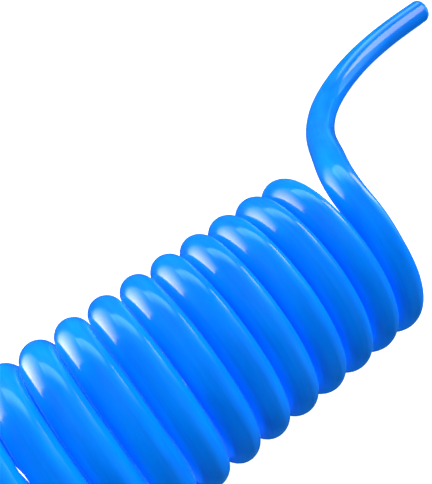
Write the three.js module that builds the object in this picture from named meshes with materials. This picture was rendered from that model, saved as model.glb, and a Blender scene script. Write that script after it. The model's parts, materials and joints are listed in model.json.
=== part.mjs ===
// Coiled polyurethane air hose, wound as a close left-handed coil that lies on its side and leans a little,
// with one straight-cut tail at each end. Millimetres, +Z up, the coil's axis along X.
// The hose is one tube. It is divided here where it twists when the coil is pulled out: level cuts at the
// height of the coil's axis leave a bottom and a top half of each turn, which swivel on each other about
// upright axes, and at each end a tail with the quarter-turn it grows out of.
import * as THREE from "three";

// Tube
const TUBE_DIAMETER = 8;
const BORE_DIAMETER = 5;
const SIDES = 8;

// Coil. Turn angle 0 is the top of the coil, 90 degrees its front (-Y) and 180 degrees the floor.
const COIL_RADIUS = 19.4; // of the tube's centreline
const PITCH = 8.45;
const LEAN = THREE.MathUtils.degToRad(13.5); // of the turns' tops, towards -X
const LEAN_SIDE = THREE.MathUtils.degToRad(10); // turn angle where a turn leans furthest
const TURNS = 18; // from the loose tail's root on the top to the far tail's root on the floor, less half a turn
const STEPS_PER_QUARTER = 4;
const GAP = 0.3; // between the faces of neighbouring solids

// Where the middle of the whole part's box is, from the coil's axis and turn angle 0.
const MIDDLE_X = -55.9;
const MIDDLE_Y = 23.1;

// Both tails, from the cut end to where they join the coil.
const LOOSE_TAIL = [
  [107.5, 65.5, 4],
  [92, 64.5, 4],
  [76, 62, 4.5],
  [61, 57.5, 6],
  [47, 51, 9],
  [35, 43, 14],
  [25, 34.5, 20],
  [16, 25.5, 27.5],
  [8, 17, 35],
  [1, 8.5, 40.5],
  [-3, 0.5, 42.5],
  [-4.5, -7, 41.5],
];
const FAR_TAIL = [
  [-219.5, 44, 4],
  [-207.5, 43.6, 4],
  [-195.5, 42.8, 4],
  [-183.4, 41.4, 4],
  [-174.5, 39.6, 4],
  [-166.2, 36, 4],
  [-159, 31, 4],
  [-152.6, 24.4, 4],
  [-147.7, 16.4, 4],
  [-144.6, 7.6, 4.1],
];

const LOOSE_ROOT = THREE.MathUtils.degToRad(45); // turn angle where the loose tail has peeled off the coil
const ROOT_STEP = THREE.MathUtils.degToRad(15); // between a tail's points on the coil
const SQUARED_END = THREE.MathUtils.degToRad(2); // so close a pair keeps a tail's end face square to the coil
const HALF = Math.PI;
const QUARTER = Math.PI / 2;
const COIL_TO = (2 * TURNS - 1) * HALF;
const HALF_TURNS = 2 * (TURNS - 1);
const GAP_ANGLE = GAP / COIL_RADIUS;

const PU_BLUE = 0x0a7cf5;

// The tube's centreline at a turn angle, its direction there, and the way out from the coil's axis.
function coilPoint(angle) {
  return new THREE.Vector3(
    (-PITCH * angle) / (2 * Math.PI) - COIL_RADIUS * Math.tan(LEAN) * Math.cos(angle - LEAN_SIDE),
    -COIL_RADIUS * Math.sin(angle),
    TUBE_DIAMETER / 2 + COIL_RADIUS * (1 + Math.cos(angle)),
  );
}

function coilTangent(angle) {
  const slope = new THREE.Vector3(
    -PITCH / (2 * Math.PI) + COIL_RADIUS * Math.tan(LEAN) * Math.sin(angle - LEAN_SIDE),
    -COIL_RADIUS * Math.cos(angle),
    -COIL_RADIUS * Math.sin(angle),
  );
  return slope.normalize();
}

function outward(angle) {
  return new THREE.Vector3(0, -Math.sin(angle), Math.cos(angle));
}

// Makes one section of a swept tube level, as a slanting cut through the tube would.
function levelSection(frames, index) {
  const tangent = frames.tangents[index];
  for (const side of [frames.normals[index], frames.binormals[index]]) {
    side.addScaledVector(tangent, -side.z / tangent.z);
  }
}

// A stretch of the coil between two turn angles, whose section keeps one corner facing outwards.
// Both ends are cut level.
class CoilStretch extends THREE.Curve {
  constructor(from, to) {
    super();
    this.from = from;
    this.to = to;
  }

  angleAt(t) {
    return this.from + t * (this.to - this.from);
  }

  getPoint(t) {
    return coilPoint(this.angleAt(t));
  }

  getPointAt(t) {
    return this.getPoint(t);
  }

  computeFrenetFrames(segments) {
    const frames = { tangents: [], normals: [], binormals: [] };
    for (let i = 0; i <= segments; i++) {
      const angle = this.angleAt(i / segments);
      const tangent = coilTangent(angle);
      const normal = outward(angle);
      frames.tangents.push(tangent);
      frames.normals.push(normal);
      frames.binormals.push(new THREE.Vector3().crossVectors(tangent, normal));
    }
    levelSection(frames, 0);
    levelSection(frames, segments);
    return frames;
  }
}

// A smooth curve through points, whose last section is cut level.
class TailRoute extends THREE.CatmullRomCurve3 {
  constructor(points) {
    super(points, false, "centripetal");
  }

  computeFrenetFrames(segments, closed) {
    const frames = super.computeFrenetFrames(segments, closed);
    levelSection(frames, segments);
    return frames;
  }
}

// A regular polygon with one corner on the x axis.
function polygon(diameter, PathClass) {
  const path = new PathClass();
  for (let i = 0; i < SIDES; i++) {
    const turn = (2 * Math.PI * i) / SIDES;
    const x = (diameter / 2) * Math.cos(turn);
    const y = (diameter / 2) * Math.sin(turn);
    if (i === 0) path.moveTo(x, y);
    else path.lineTo(x, y);
  }
  path.closePath();
  return path;
}

function sweep(name, section, extrudePath, steps) {
  const geometry = new THREE.ExtrudeGeometry(section, { steps, extrudePath, bevelEnabled: false });
  const material = new THREE.MeshStandardMaterial({ color: PU_BLUE, roughness: 0.15, metalness: 0 });
  const mesh = new THREE.Mesh(geometry, material);
  mesh.name = name;
  return mesh;
}

// Half a turn of the coil, modelled solid.
function halfTurn(name, middle) {
  const trim = GAP_ANGLE / 2;
  const curve = new CoilStretch(middle - QUARTER + trim, middle + QUARTER - trim);
  return sweep(name, polygon(TUBE_DIAMETER, THREE.Shape), curve, 2 * STEPS_PER_QUARTER);
}

// A tail with its bore, from the cut end along the given points and then along the coil between two turn angles.
function tail(name, points, from, to) {
  const route = points.map((p) => new THREE.Vector3(...p));
  const steps = Math.round(Math.abs(to - from) / ROOT_STEP);
  for (let i = 0; i < steps; i++) {
    route.push(coilPoint(from + ((to - from) * i) / steps));
  }
  route.push(coilPoint(to - Math.sign(to - from) * SQUARED_END));
  route.push(coilPoint(to));
  const section = polygon(TUBE_DIAMETER, THREE.Shape);
  section.holes.push(polygon(BORE_DIAMETER, THREE.Path));
  return sweep(name, section, new TailRoute(route), 2 * route.length);
}

const hose = new THREE.Group();
hose.position.set(-MIDDLE_X, -MIDDLE_Y, 0);
const trim = GAP_ANGLE / 2;
hose.add(tail("loose_tail", LOOSE_TAIL, LOOSE_ROOT, QUARTER - trim));
for (let i = 0; i < HALF_TURNS; i++) {
  const turn = String(Math.floor(i / 2) + 1).padStart(2, "0");
  const side = i % 2 === 0 ? "bottom" : "top";
  hose.add(halfTurn(`turn_${turn}_${side}`, (i + 1) * HALF));
}
hose.add(tail("far_tail", FAR_TAIL, COIL_TO, COIL_TO - QUARTER + trim));

export default hose;
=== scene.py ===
import json
import math

import bpy
import numpy as np
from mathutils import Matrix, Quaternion, Vector


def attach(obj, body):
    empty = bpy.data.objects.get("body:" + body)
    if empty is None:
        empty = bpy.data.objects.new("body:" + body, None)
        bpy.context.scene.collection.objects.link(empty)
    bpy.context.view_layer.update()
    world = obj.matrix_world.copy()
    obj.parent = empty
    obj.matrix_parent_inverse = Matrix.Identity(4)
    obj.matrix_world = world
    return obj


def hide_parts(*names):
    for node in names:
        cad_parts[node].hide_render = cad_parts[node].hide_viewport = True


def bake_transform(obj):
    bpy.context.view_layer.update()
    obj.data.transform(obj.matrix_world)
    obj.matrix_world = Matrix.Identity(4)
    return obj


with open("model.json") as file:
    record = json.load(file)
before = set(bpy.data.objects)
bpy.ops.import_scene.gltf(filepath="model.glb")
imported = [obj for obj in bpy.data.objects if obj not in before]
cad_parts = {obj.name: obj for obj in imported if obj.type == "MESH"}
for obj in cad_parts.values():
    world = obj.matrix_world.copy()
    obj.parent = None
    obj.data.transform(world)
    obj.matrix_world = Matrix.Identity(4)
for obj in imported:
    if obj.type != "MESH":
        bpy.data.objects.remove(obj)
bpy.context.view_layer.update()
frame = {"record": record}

MM = 0.001

# Tube and coil, as the CAD model has them. Turn angle 0 is the coil's top, 90 degrees its front (-Y).
TUBE_DIAMETER = 8 * MM
BORE_DIAMETER = 5 * MM
COIL_RADIUS = 19.4 * MM
PITCH = 8.45 * MM
LEAN = math.radians(13.5)
LEAN_SIDE = math.radians(10)
TURNS = 18
COIL_TO = (2 * TURNS - 1) * math.pi
LOOSE_ROOT = math.radians(45)
MIDDLE = np.array((-55.9, 23.1, 0)) * MM

# The tails' routes, from the cut end to where they join the coil.
LOOSE_TAIL = np.array((
    (107.5, 65.5, 4),
    (92, 64.5, 4),
    (76, 62, 4.5),
    (61, 57.5, 6),
    (47, 51, 9),
    (35, 43, 14),
    (25, 34.5, 20),
    (16, 25.5, 27.5),
    (8, 17, 35),
    (1, 8.5, 40.5),
    (-3, 0.5, 42.5),
    (-4.5, -7, 41.5),
)) * MM
FAR_TAIL = np.array((
    (-219.5, 44, 4),
    (-207.5, 43.6, 4),
    (-195.5, 42.8, 4),
    (-183.4, 41.4, 4),
    (-174.5, 39.6, 4),
    (-166.2, 36, 4),
    (-159, 31, 4),
    (-152.6, 24.4, 4),
    (-147.7, 16.4, 4),
    (-144.6, 7.6, 4.1),
)) * MM

# Mesh density
STEPS_PER_TURN = 96
SIDES = 48
TAIL_STEP = 1.3 * MM
CUT_ROUNDING = 0.25 * MM


# ---------------------------------------------------------------- camera

def make_camera():
    data = bpy.data.cameras.new("camera")
    data.sensor_width = 36
    data.lens = 64.73
    camera = bpy.data.objects.new("camera", data)
    bpy.context.scene.collection.objects.link(camera)
    place = np.array((-111.37, -77.67, 185.01)) * MM - MIDDLE
    azimuth, elevation = math.radians(-41.25), math.radians(50.54)
    back = Vector((
        math.sin(azimuth) * math.cos(elevation),
        -math.cos(azimuth) * math.cos(elevation),
        math.sin(elevation),
    ))
    camera.location = place
    camera.rotation_mode = "QUATERNION"
    camera.rotation_quaternion = back.to_track_quat("Z", "Y")
    data.clip_start = 0.01
    data.clip_end = 20
    bpy.context.scene.camera = camera


# ---------------------------------------------------------------- centreline

def coil_points(angles):
    a = np.asarray(angles, float)
    x = -PITCH * a / (2 * math.pi) - COIL_RADIUS * math.tan(LEAN) * np.cos(a - LEAN_SIDE)
    z = TUBE_DIAMETER / 2 + COIL_RADIUS * (1 + np.cos(a))
    return np.stack((x, -COIL_RADIUS * np.sin(a), z), axis=-1) - MIDDLE


def coil_direction(angle):
    x = -PITCH / (2 * math.pi) + COIL_RADIUS * math.tan(LEAN) * math.sin(angle - LEAN_SIDE)
    slope = np.array((x, -COIL_RADIUS * math.cos(angle), -COIL_RADIUS * math.sin(angle)))
    return slope / np.linalg.norm(slope)


def spline(points, end_direction):
    """A smooth curve through the points, free at the first and in the given direction at the last."""
    t = np.concatenate(([0], np.cumsum(np.linalg.norm(np.diff(points, axis=0), axis=1))))
    h = np.diff(t)[:, None]
    rise = np.diff(points, axis=0) / h
    n = len(points)
    system = np.zeros((n, n))
    target = np.zeros((n, 3))
    system[0, :2] = 2, 1
    target[0] = 3 * rise[0]
    for i in range(1, n - 1):
        before, after = h[i - 1, 0], h[i, 0]
        system[i, i - 1:i + 2] = after, 2 * (before + after), before
        target[i] = 3 * (after * rise[i - 1] + before * rise[i])
    system[-1, -1] = 1
    target[-1] = end_direction
    slopes = np.linalg.solve(system, target)

    def at(s):
        k = np.clip(np.searchsorted(t, s, side="right") - 1, 0, n - 2)
        w = h[k]
        u = ((s - t[k]) / w[:, 0])[:, None]
        return (
            points[k] * (1 + 2 * u) * (1 - u) ** 2
            + slopes[k] * w * u * (1 - u) ** 2
            + points[k + 1] * u ** 2 * (3 - 2 * u)
            + slopes[k + 1] * w * u ** 2 * (u - 1)
        )

    return at(np.linspace(0, t[-1], round(t[-1] / TAIL_STEP) + 1))


def hose_line():
    """Every centreline point from the loose tail's cut end to the far one's, and the numbers of
    those at the loose tail's crest and at the coil's bottoms and tops, where the pieces meet."""
    loose = spline(
        np.concatenate((LOOSE_TAIL - MIDDLE, coil_points([LOOSE_ROOT]))),
        coil_direction(LOOSE_ROOT),
    )
    far = spline(
        np.concatenate((FAR_TAIL - MIDDLE, coil_points([COIL_TO]))),
        -coil_direction(COIL_TO),
    )
    steps = round((COIL_TO - LOOSE_ROOT) / (2 * math.pi) * STEPS_PER_TURN)
    coil = coil_points(np.linspace(LOOSE_ROOT, COIL_TO, steps + 1))
    line = np.concatenate((loose[:-1], coil, far[-2::-1]))
    crest = int(np.argmax(loose[:, 2]))
    first_bottom = len(loose) - 1 + round((math.pi - LOOSE_ROOT) / (2 * math.pi) * STEPS_PER_TURN)
    half = STEPS_PER_TURN // 2
    return line, [crest] + [first_bottom + i * half for i in range(2 * TURNS - 1)]


def unit(v):
    return v / np.linalg.norm(v, axis=-1, keepdims=True)


def carried_frames(line):
    """The line's direction at each point, and two sides square to it that turn as little as they can."""
    forward = unit(np.gradient(line, axis=0))
    side = np.zeros_like(line)
    side[0] = unit(np.cross(forward[0], (0, 0, 1)))
    for i in range(1, len(line)):
        kept = side[i - 1] - forward[i] * (side[i - 1] @ forward[i])
        side[i] = unit(kept)
    return forward, side, np.cross(forward, side)


# ---------------------------------------------------------------- tube meshes

def end_rings(radius, outwards):
    """A rounded edge at a cut end, as (distance from the cut, radius, lean of the normal towards the cut)."""
    rings = []
    for i in range(4):
        turn = math.radians(90) * i / 3
        rings.append((
            CUT_ROUNDING * (1 - math.sin(turn)),
            radius - outwards * CUT_ROUNDING * (1 - math.cos(turn)),
            turn,
        ))
    return rings


class Hose:
    """The whole tube: one set of frames, from which each piece takes its stretch, so that they meet."""

    def __init__(self):
        self.line, self.joins = hose_line()
        self.forward, self.side, self.up = carried_frames(self.line)
        steps = np.linalg.norm(np.diff(self.line, axis=0), axis=1)
        self.run = np.concatenate(([0], np.cumsum(steps)))

    def length(self, first, last):
        return float(self.run[last] - self.run[first])


def tube_piece(hose, name, first, last, material):
    """One closed stretch of tube with its bore, between two points of the line."""
    outer_angles = np.arange(SIDES) * 2 * math.pi / SIDES
    bore_angles = outer_angles[::2]
    at_start, at_end = first == 0, last == len(hose.line) - 1
    points, normals, laid_out = [], [], []

    def ring(index, shift, radius, angles, outwards, lean, towards):
        c, s = np.cos(angles)[:, None], np.sin(angles)[:, None]
        radial = c * hose.side[index] + s * hose.up[index]
        centre = hose.line[index] + hose.forward[index] * shift
        start = sum(len(p) for p in points)
        points.append(centre + radial * radius)
        forward = hose.forward[index] * towards
        normals.append(unit(radial * outwards * math.cos(lean) + forward * math.sin(lean)))
        along = np.full((len(angles), 1), hose.run[index] + shift)
        laid_out.append(np.concatenate((c * radius, s * radius, along), axis=1))
        return np.arange(start, start + len(angles))

    def wall(diameter, angles, outwards):
        radius = diameter / 2
        rings = []
        edge = end_rings(radius, outwards)
        if at_start:
            for distance, r, turn in edge[::-1]:
                rings.append(ring(first, distance, r, angles, outwards, math.radians(90) - turn, -1))
        inner_first = first + 1 if at_start else first
        inner_last = last - 1 if at_end else last
        for index in range(inner_first, inner_last + 1):
            rings.append(ring(index, 0, radius, angles, outwards, 0, 0))
        if at_end:
            for distance, r, turn in edge:
                rings.append(ring(last, -distance, r, angles, outwards, math.radians(90) - turn, 1))
        return rings

    outer = wall(TUBE_DIAMETER, outer_angles, 1)
    bore = wall(BORE_DIAMETER, bore_angles, -1)
    points = np.concatenate(points)
    normals = np.concatenate(normals)
    laid_out = np.concatenate(laid_out)

    faces, corner_normals = [], []
    for rings, flip in ((outer, False), (bore, True)):
        for a, b in zip(rings, rings[1:]):
            a2, b2 = np.roll(a, -1), np.roll(b, -1)
            quads = np.stack((a, a2, b2, b), axis=1)
            if flip:
                quads = quads[:, ::-1]
            faces.extend(quads.tolist())
            corner_normals.extend(normals[quads.ravel()])
    for outer_ring, bore_ring, towards, index in (
        (outer[0], bore[0], -1, first), (outer[-1], bore[-1], 1, last),
    ):
        for i in range(len(bore_ring)):
            n = (i + 1) % len(bore_ring)
            corner = [
                outer_ring[2 * i], outer_ring[2 * i + 1], outer_ring[(2 * i + 2) % SIDES],
                bore_ring[n], bore_ring[i],
            ]
            if towards < 0:
                corner = corner[::-1]
            faces.append([int(c) for c in corner])
            corner_normals.extend([hose.forward[index] * towards] * len(corner))

    mesh = bpy.data.meshes.new(name)
    mesh.from_pydata(points.tolist(), [], faces)
    mesh.polygons.foreach_set("use_smooth", [True] * len(faces))
    straight = mesh.attributes.new("straight", "FLOAT_VECTOR", "POINT")
    straight.data.foreach_set("vector", laid_out.astype(np.float32).ravel())
    mesh.normals_split_custom_set([tuple(n) for n in corner_normals])
    mesh.materials.append(material)
    piece = bpy.data.objects.new(name, mesh)
    bpy.context.scene.collection.objects.link(piece)
    return piece


def make_hose(material):
    hose = Hose()
    joins = hose.joins
    bodies = list(frame["record"]["behaviour"]["bodies"])
    end = len(hose.line) - 1

    loose = tube_piece(hose, "hose_loose_tail", 0, joins[0], material)
    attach(loose, "loose_tail")
    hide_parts("loose_tail")

    for i, (first, last) in enumerate(zip(joins, joins[1:])):
        side = "front" if i % 2 == 0 else "back"
        piece = tube_piece(hose, f"hose_turn_{i // 2 + 1:02d}_{side}", first, last, material)
        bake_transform(piece)
        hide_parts(bodies[i], bodies[i + 1])

    far = tube_piece(hose, "hose_far_tail", joins[-1], end, material)
    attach(far, "far_tail")
    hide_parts("far_tail")


# ---------------------------------------------------------------- material

class Nodes:
    """Short calls for adding linked nodes to a material or world."""

    def __init__(self, tree):
        self.tree = tree

    def add(self, kind, inputs=None, **settings):
        node = self.tree.nodes.new(kind)
        for name, value in settings.items():
            setattr(node, name, value)
        for name, value in (inputs or {}).items():
            if isinstance(value, bpy.types.NodeSocket):
                self.tree.links.new(value, node.inputs[name])
            else:
                node.inputs[name].default_value = value
        return node

    def noise(self, where, scale, detail=2, roughness=0.5, seed=0.0):
        """Noise in space, told apart from the others by a fourth coordinate."""
        inputs = {"Vector": where, "W": seed, "Scale": scale, "Detail": detail, "Roughness": roughness}
        return self.add("ShaderNodeTexNoise", inputs, noise_dimensions="4D").outputs["Fac"]

    def between(self, value, from_low, from_high, to_low, to_high):
        inputs = {
            "Value": value, "From Min": from_low, "From Max": from_high, "To Min": to_low, "To Max": to_high,
        }
        return self.add("ShaderNodeMapRange", inputs).outputs["Result"]

    def smooth(self, value, nothing, full):
        """A smooth rise from 0 to 1 between two values."""
        inputs = {"Value": value, "From Min": nothing, "From Max": full}
        return self.add("ShaderNodeMapRange", inputs, interpolation_type="SMOOTHSTEP").outputs["Result"]

    def math(self, operation, a, b):
        return self.add("ShaderNodeMath", {0: a, 1: b}, operation=operation).outputs[0]

    def stretched(self, where, scale):
        return self.add("ShaderNodeVectorMath", {0: where, 1: scale}, operation="MULTIPLY").outputs[0]

    def colours(self, fac, stops):
        ramp = self.add("ShaderNodeValToRGB", {"Fac": fac})
        elements = ramp.color_ramp.elements
        elements[0].position, elements[0].color = stops[0][0], (*stops[0][1], 1)
        elements[1].position, elements[1].color = stops[-1][0], (*stops[-1][1], 1)
        for position, colour in stops[1:-1]:
            elements.new(position).color = (*colour, 1)
        return ramp.outputs["Color"]


# The pigment's darkest, usual and lightest blue, and where each stands in the clouding.
PIGMENT = (
    (0.3, (0.0, 0.122, 0.64)),
    (0.5, (0.0, 0.153, 0.74)),
    (0.72, (0.0, 0.185, 0.82)),
)


def polyurethane():
    """Glossy blue polyurethane, with the marks that extrusion and handling leave along the tube."""
    material = bpy.data.materials.new("polyurethane_blue")
    material.use_nodes = True
    nodes = Nodes(material.node_tree)
    shader = material.node_tree.nodes["Principled BSDF"]
    straight = nodes.add("ShaderNodeAttribute", attribute_name="straight").outputs["Vector"]

    # Colour: slow clouding of the pigment, and faint draw lines along the tube.
    clouds = nodes.noise(nodes.stretched(straight, (1, 1, 0.35)), 210, detail=3, seed=1.0)
    draw_lines = nodes.noise(nodes.stretched(straight, (1, 1, 0.012)), 1500, detail=2, seed=2.0)
    tint = nodes.math("ADD", nodes.math("MULTIPLY", clouds, 0.7), nodes.math("MULTIPLY", draw_lines, 0.3))
    colour = nodes.colours(tint, PIGMENT)
    material.node_tree.links.new(colour, shader.inputs["Base Color"])

    # Gloss: smoother and duller patches, with fine rubbed streaks.
    smears = nodes.noise(nodes.stretched(straight, (1, 1, 0.25)), 330, detail=3, seed=3.0)
    rubs = nodes.noise(nodes.stretched(straight, (1, 1, 0.03)), 2600, detail=2, roughness=0.6, seed=4.0)
    dullness = nodes.math("ADD", nodes.math("MULTIPLY", smears, 0.65), nodes.math("MULTIPLY", rubs, 0.35))
    roughness = nodes.between(dullness, 0.3, 0.7, 0.06, 0.19)
    material.node_tree.links.new(roughness, shader.inputs["Roughness"])

    # Surface: the die's lines, and a slight waviness of the wall.
    waviness = nodes.noise(nodes.stretched(straight, (1, 1, 0.3)), 160, detail=1, seed=5.0)
    waves = nodes.add("ShaderNodeBump", {"Strength": 0.6, "Distance": 0.09 * MM, "Height": waviness})
    lines = nodes.add(
        "ShaderNodeBump",
        {"Strength": 0.35, "Distance": 0.008 * MM, "Height": draw_lines, "Normal": waves.outputs["Normal"]},
    )
    material.node_tree.links.new(lines.outputs["Normal"], shader.inputs["Normal"])
    shader.inputs["IOR"].default_value = 1.5
    shader.inputs["Sheen Weight"].default_value = 0.08
    shader.inputs["Sheen Roughness"].default_value = 0.3
    shader.inputs["Sheen Tint"].default_value = (0.2, 0.7, 1.0, 1)
    return material


# ---------------------------------------------------------------- stage

def aim(azimuth, elevation):
    """The direction at an azimuth from +X towards +Y and an elevation, in degrees."""
    a, e = math.radians(azimuth), math.radians(elevation)
    return Vector((math.cos(a) * math.cos(e), math.sin(a) * math.cos(e), math.sin(e)))


# The soft light grows evenly from one side of the coil to the other, towards LIGHT_SIDE.
LIGHT_SIDE = aim(52, -8)
LIGHT_MEAN = 2.1
LIGHT_SLOPE = 1.4
FILL_SHARE = 0.45


def make_floor():
    """A white table that only the camera sees: it neither shades, lights nor shows in the hose."""
    mesh = bpy.data.meshes.new("floor")
    half, level = 30, -0.2 * MM
    mesh.from_pydata(
        [(-half, -half, level), (half, -half, level), (half, half, level), (-half, half, level)],
        [], [(0, 1, 2, 3)],
    )
    material = bpy.data.materials.new("floor_white")
    material.use_nodes = True
    shader = material.node_tree.nodes["Principled BSDF"]
    shader.inputs["Base Color"].default_value = (0.9, 0.9, 0.9, 1)
    shader.inputs["Roughness"].default_value = 0.9
    shader.inputs["Specular IOR Level"].default_value = 0
    shader.inputs["Emission Color"].default_value = (1, 1, 1, 1)
    shader.inputs["Emission Strength"].default_value = 0.35
    mesh.materials.append(material)
    floor = bpy.data.objects.new("floor", mesh)
    floor.visible_glossy = False
    floor.visible_diffuse = False
    floor.visible_shadow = False
    bpy.context.scene.collection.objects.link(floor)


def make_world():
    """Soft light from all round, brightest at LIGHT_SIDE, that stays out of the gloss.
    The camera sees it as plain white."""
    world = bpy.data.worlds.new("studio")
    world.use_nodes = True
    nodes = Nodes(world.node_tree)
    background = world.node_tree.nodes["Background"]
    way = nodes.add("ShaderNodeTexCoord").outputs["Generated"]
    facing = nodes.add("ShaderNodeVectorMath", {0: way, 1: LIGHT_SIDE}, operation="DOT_PRODUCT")
    share = 1 - FILL_SHARE
    lowest, highest = LIGHT_MEAN - 1.5 * LIGHT_SLOPE, LIGHT_MEAN + 1.5 * LIGHT_SLOPE
    strength = nodes.between(facing.outputs["Value"], -1, 1, share * lowest, share * highest)
    seen = nodes.add("ShaderNodeLightPath").outputs["Is Camera Ray"]
    shown = nodes.add("ShaderNodeMix", {"Factor": seen, "A": strength, "B": 1.0}).outputs["Result"]
    background.inputs["Color"].default_value = (1, 1, 1, 1)
    world.node_tree.links.new(shown, background.inputs["Strength"])
    world.cycles_visibility.glossy = False
    bpy.context.scene.world = world


def add_light(name, kind, way, distance):
    data = bpy.data.lights.new(name, kind)
    light = bpy.data.objects.new(name, data)
    light.location = way * distance
    light.rotation_mode = "QUATERNION"
    light.rotation_quaternion = way.to_track_quat("Z", "Y")
    light.visible_camera = False
    bpy.context.scene.collection.objects.link(light)
    return light


def make_fill():
    """Six suns without shadows, which carry soft light into the creases and stay out of the gloss."""
    for axis in (Vector((1, 0, 0)), Vector((0, 1, 0)), Vector((0, 0, 1))):
        for way in (axis, -axis):
            light = add_light("fill", "SUN", way, 1)
            light.data.energy = math.pi * FILL_SHARE * (0.7 * LIGHT_MEAN + LIGHT_SLOPE * way.dot(LIGHT_SIDE))
            light.data.use_shadow = False
            light.visible_glossy = False


# Colours of the panels: the bright ones are nearly white in the gloss, and the faint ones cyan.
WARM_WHITE = (1.0, 0.82, 0.98)
PALE_CYAN = (0.4, 0.88, 1.0)

# The tail's own panel stands close over the middle of the loose tail.
TAIL_MIDDLE = Vector((0.12, 0.03, 0.01))
OVER_TAIL = 0.09


def softbox(name, way, distance, half_width, half_height, radiance, colour, roll=0, *, fade_side, fade_top):
    """A panel seen only in the gloss. Its half sizes are in degrees as seen from the distance given.
    It fades out at one side and at one end, over those shares of its width and height."""
    light = add_light(name, "AREA", way, distance)
    light.rotation_quaternion @= Quaternion((0, 0, 1), math.radians(roll))
    light.visible_diffuse = False
    data = light.data
    data.shape = "RECTANGLE"
    data.size = 2 * distance * math.tan(math.radians(half_width))
    data.size_y = 2 * distance * math.tan(math.radians(half_height))
    data.energy = 4 * data.size * data.size_y * radiance
    data.color = colour
    data.use_nodes = True
    nodes = Nodes(data.node_tree)
    place = nodes.add("ShaderNodeNewGeometry").outputs["Parametric"]
    across = nodes.add("ShaderNodeSeparateXYZ", {"Vector": place})
    side = nodes.smooth(across.outputs["X"], 0, fade_side)
    top = nodes.smooth(across.outputs["Y"], 1, 1 - fade_top)
    emission = data.node_tree.nodes["Emission"]
    data.node_tree.links.new(nodes.math("MULTIPLY", side, top), emission.inputs["Strength"])
    return light


def make_lights():
    make_fill()
    far, near = 1.5, 0.36
    softbox("window", aim(112, -4), far, 26, 38, 8.5, WARM_WHITE, roll=24, fade_side=0.7, fade_top=0.8)
    softbox("window_skirt", aim(106, 2), far, 26, 42, 1.0, PALE_CYAN, roll=24, fade_side=0.2, fade_top=0.4)
    softbox("band", aim(54, 33), far, 28, 15, 2.6, PALE_CYAN, fade_side=0.25, fade_top=0.7)
    softbox("side", aim(-5, 22), near, 15, 28, 0.9, PALE_CYAN, fade_side=0.5, fade_top=0.5)
    over_tail = aim(-12, 40)
    lamp = softbox("tail_side", over_tail, 0.25, 8, 8, 3.4, WARM_WHITE, fade_side=0.3, fade_top=0.3)
    lamp.location = TAIL_MIDDLE + over_tail * OVER_TAIL


bpy.context.scene.view_settings.view_transform = "Standard"
make_camera()
make_hose(polyurethane())
make_floor()
make_world()
make_lights()
